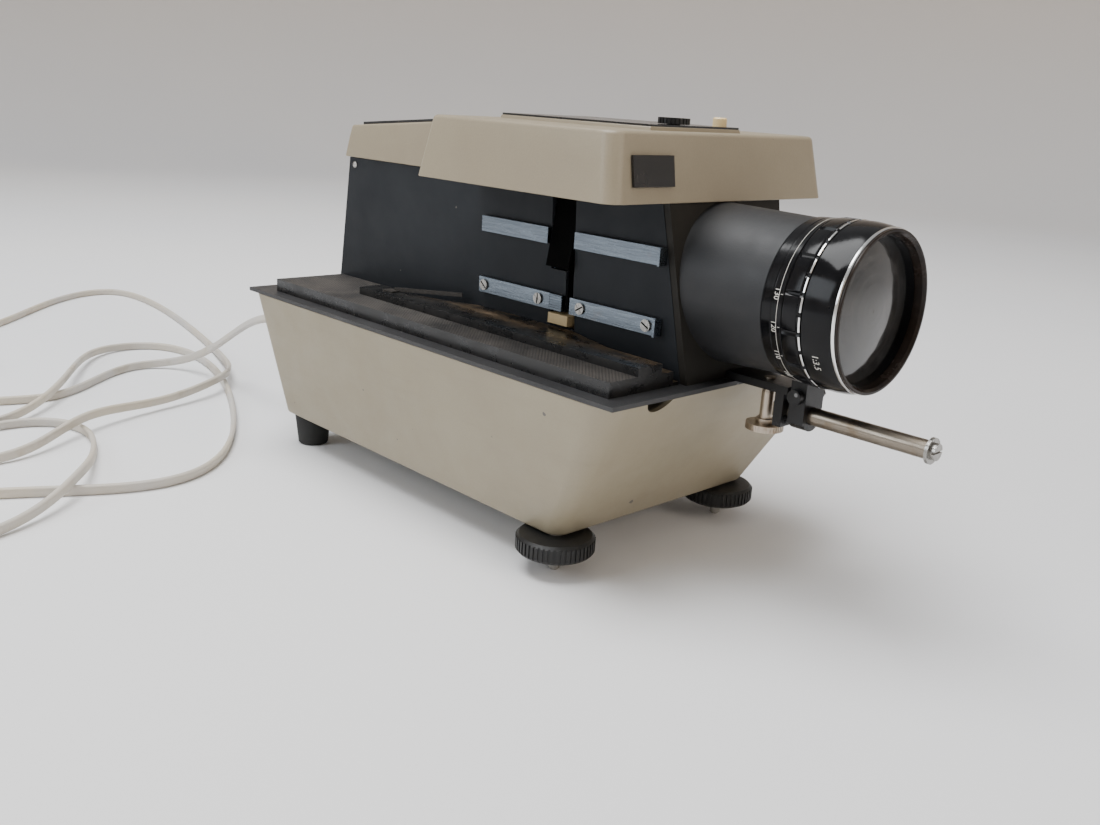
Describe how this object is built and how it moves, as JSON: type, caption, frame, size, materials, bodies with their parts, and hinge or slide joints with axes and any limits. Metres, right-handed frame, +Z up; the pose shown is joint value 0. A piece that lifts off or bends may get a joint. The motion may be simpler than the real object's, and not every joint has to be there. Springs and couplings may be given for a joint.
{
  "type": "slide projector",
  "caption": "Slide projector with a tapered base, a side channel for a straight slide tray, a zoom lens on a guide rod, screw feet and a mains lead.",
  "frame": {"origin": "middle of the object's length and width, without its lead, on the surface that it stands on", "axes": "+X along the lens axis towards the screen, -Y to the side with the slide tray, +Z up"},
  "size_m": [0.8808, 0.4025, 0.2103],
  "materials": {
    "base_paint": "satin textured paint",
    "base_plate_steel": "dull sheet steel",
    "deck_paint": "satin dark grey paint",
    "black_abs": "hatched and glossy black plastic",
    "spring_steel": "spring steel",
    "housing_paint": "satin dark slate paint",
    "cover_plastic": "fine textured beige plastic",
    "panel_black": "gloss",
    "strip_metal": "brushed",
    "screw_metal": "nickel plated",
    "gate_metal": "satin",
    "flap_black": "matt",
    "arm_plastic": "moulded acetal",
    "motor_steel": "zinc plated",
    "clear_glass": "coated glass",
    "filter_glass": "pale green glass",
    "mirror": "polished",
    "ceramic": "ceramic",
    "lamp_glass": "clear quartz",
    "core_steel": "varnished laminations",
    "copper": "enamelled wire",
    "fan_plastic": "moulded",
    "tube_paint": "satin grey paint",
    "lens_black": "black anodised",
    "ring_chrome": "polished",
    "bracket_black": "black oxide",
    "rod_steel": "polished steel with light staining",
    "knurled_nickel": "nickel over brass",
    "foot_steel": "zinc plated",
    "knob_black": "fluted",
    "foot_rubber": "matt",
    "ivory_plastic": "ivory",
    "gland_rubber": "matt",
    "lead_pvc": "cream PVC"
  },
  "bodies": {
    "root": {"base_trough": "base_paint", "base_plate": "base_plate_steel", "deck_plate": "deck_paint", "tray_channel": "black_abs", "tray_spring": "spring_steel", "housing_shell": "housing_paint", "front_panel": "housing_paint", "top_plate": "base_plate_steel", "top_cover": "cover_plastic", "control_panel": "panel_black", "badge_plate": "panel_black", "upper_strips": "strip_metal", "lower_strips": "strip_metal", "strip_screws": "screw_metal", "gate_end_block": "strip_metal", "gate_frame": "gate_metal", "drive_motor": "motor_steel", "optical_bed": "base_plate_steel", "condenser_lenses": "clear_glass", "heat_filter": "filter_glass", "reflector": "mirror", "lamp_socket": "ceramic", "lamp": "lamp_glass", "transformer_core": "core_steel", "transformer_coil": "copper", "fan_housing": "fan_plastic", "fan_motor": "motor_steel", "lens_tube": "tube_paint", "lens_bracket": "bracket_black", "support_rod": "rod_steel", "rod_end_screw": "screw_metal", "rear_feet": "foot_rubber", "cord_gland": "gland_rubber", "mains_cord": "lead_pvc", "cord_coil": "lead_pvc", "mains_plug": "lead_pvc"},
    "near_foot_screw": {"near_foot_screw": "foot_steel"},
    "near_foot_knob": {"near_foot_knob": "knob_black"},
    "far_foot_screw": {"far_foot_screw": "foot_steel"},
    "far_foot_knob": {"far_foot_knob": "knob_black"},
    "slot_flap": {"slot_flap": "flap_black"},
    "changer_arm": {"changer_arm": "arm_plastic"},
    "changer_pinion": {"changer_pinion": "arm_plastic"},
    "fan_impeller": {"fan_impeller": "fan_plastic"},
    "lens_carriage": {"lens_barrel": "lens_black", "scale_ring": "lens_black", "front_ring": "lens_black", "bezel_ring": "ring_chrome", "front_lens": "clear_glass", "rear_lens": "clear_glass", "guide_clamp": "bracket_black", "clamp_bolt": "bracket_black"},
    "zoom_ring": {"zoom_ring": "lens_black"},
    "zoom_cell": {"zoom_cell": "lens_black", "zoom_lens": "clear_glass"},
    "thumb_screw": {"thumb_screw": "knurled_nickel"},
    "lamp_cover": {"lamp_cover": "cover_plastic", "lamp_grille": "panel_black"},
    "top_knob": {"top_knob": "knob_black"},
    "release_button": {"release_button": "ivory_plastic"}
  },
  "joints": [
    {"name": "near_foot_turn", "type": "hinge", "parent": "near_foot_screw", "child": "near_foot_knob", "pos_m": [0.0505, -0.0655, 0.01], "axis": [0, 0, 1], "range_deg": [0, 2160]},
    {"name": "near_foot_rise", "type": "slide", "parent": "root", "child": "near_foot_screw", "axis": [0, 0, -1], "range_m": [0, 0.0075]},
    {"name": "far_foot_turn", "type": "hinge", "parent": "far_foot_screw", "child": "far_foot_knob", "pos_m": [0.0505, 0.0575, 0.01], "axis": [0, 0, 1], "range_deg": [0, 2160]},
    {"name": "far_foot_rise", "type": "slide", "parent": "root", "child": "far_foot_screw", "axis": [0, 0, -1], "range_m": [0, 0.0075]},
    {"name": "flap_swing", "type": "hinge", "parent": "root", "child": "slot_flap", "pos_m": [0.0145, -0.0341, 0.1695], "axis": [1, 0, 0], "range_deg": [0, 88]},
    {"name": "changer_slide", "type": "slide", "parent": "root", "child": "changer_arm", "axis": [0, -1, 0], "range_m": [0, 0.046]},
    {"name": "changer_turn", "type": "hinge", "parent": "root", "child": "changer_pinion", "pos_m": [0.014, -0.0225, 0.101], "axis": [1, 0, 0], "range_deg": [0, 330]},
    {"name": "fan_spin", "type": "hinge", "parent": "root", "child": "fan_impeller", "pos_m": [-0.061, 0.0009, 0.065], "axis": [0, 0, 1], "continuous": true},
    {"name": "focus_slide", "type": "slide", "parent": "root", "child": "lens_carriage", "axis": [1, 0, 0], "range_m": [0, 0.03]},
    {"name": "zoom_turn", "type": "hinge", "parent": "lens_carriage", "child": "zoom_ring", "pos_m": [0.144, 0.0009, 0.1383], "axis": [1, 0, 0], "range_deg": [0, 80]},
    {"name": "zoom_shift", "type": "slide", "parent": "lens_carriage", "child": "zoom_cell", "axis": [1, 0, 0], "range_m": [0, 0.0205]},
    {"name": "thumb_turn", "type": "hinge", "parent": "root", "child": "thumb_screw", "pos_m": [0.114, 0.0009, 0.08], "axis": [0, 0, 1], "range_deg": [-360, 360]},
    {"name": "lamp_cover_lift", "type": "slide", "parent": "root", "child": "lamp_cover", "axis": [0, 0, 1], "range_m": [0, 0.06]},
    {"name": "top_knob_turn", "type": "hinge", "parent": "root", "child": "top_knob", "pos_m": [0.059, -0.0165, 0.207], "axis": [0, 0, 1], "range_deg": [-135, 135]},
    {"name": "button_press", "type": "slide", "parent": "root", "child": "release_button", "axis": [0, 0, -1], "range_m": [0, 0.003], "stiffness_N_per_m": 300}
  ],
  "couplings": [
    {"joint": "near_foot_turn", "follows": "near_foot_rise", "rad_per_m": 5026.5},
    {"joint": "far_foot_turn", "follows": "far_foot_rise", "rad_per_m": 5026.5},
    {"joint": "changer_turn", "follows": "changer_slide", "rad_per_m": 125},
    {"joint": "zoom_shift", "follows": "zoom_turn", "m_per_rad": 0.014324}
  ]
}
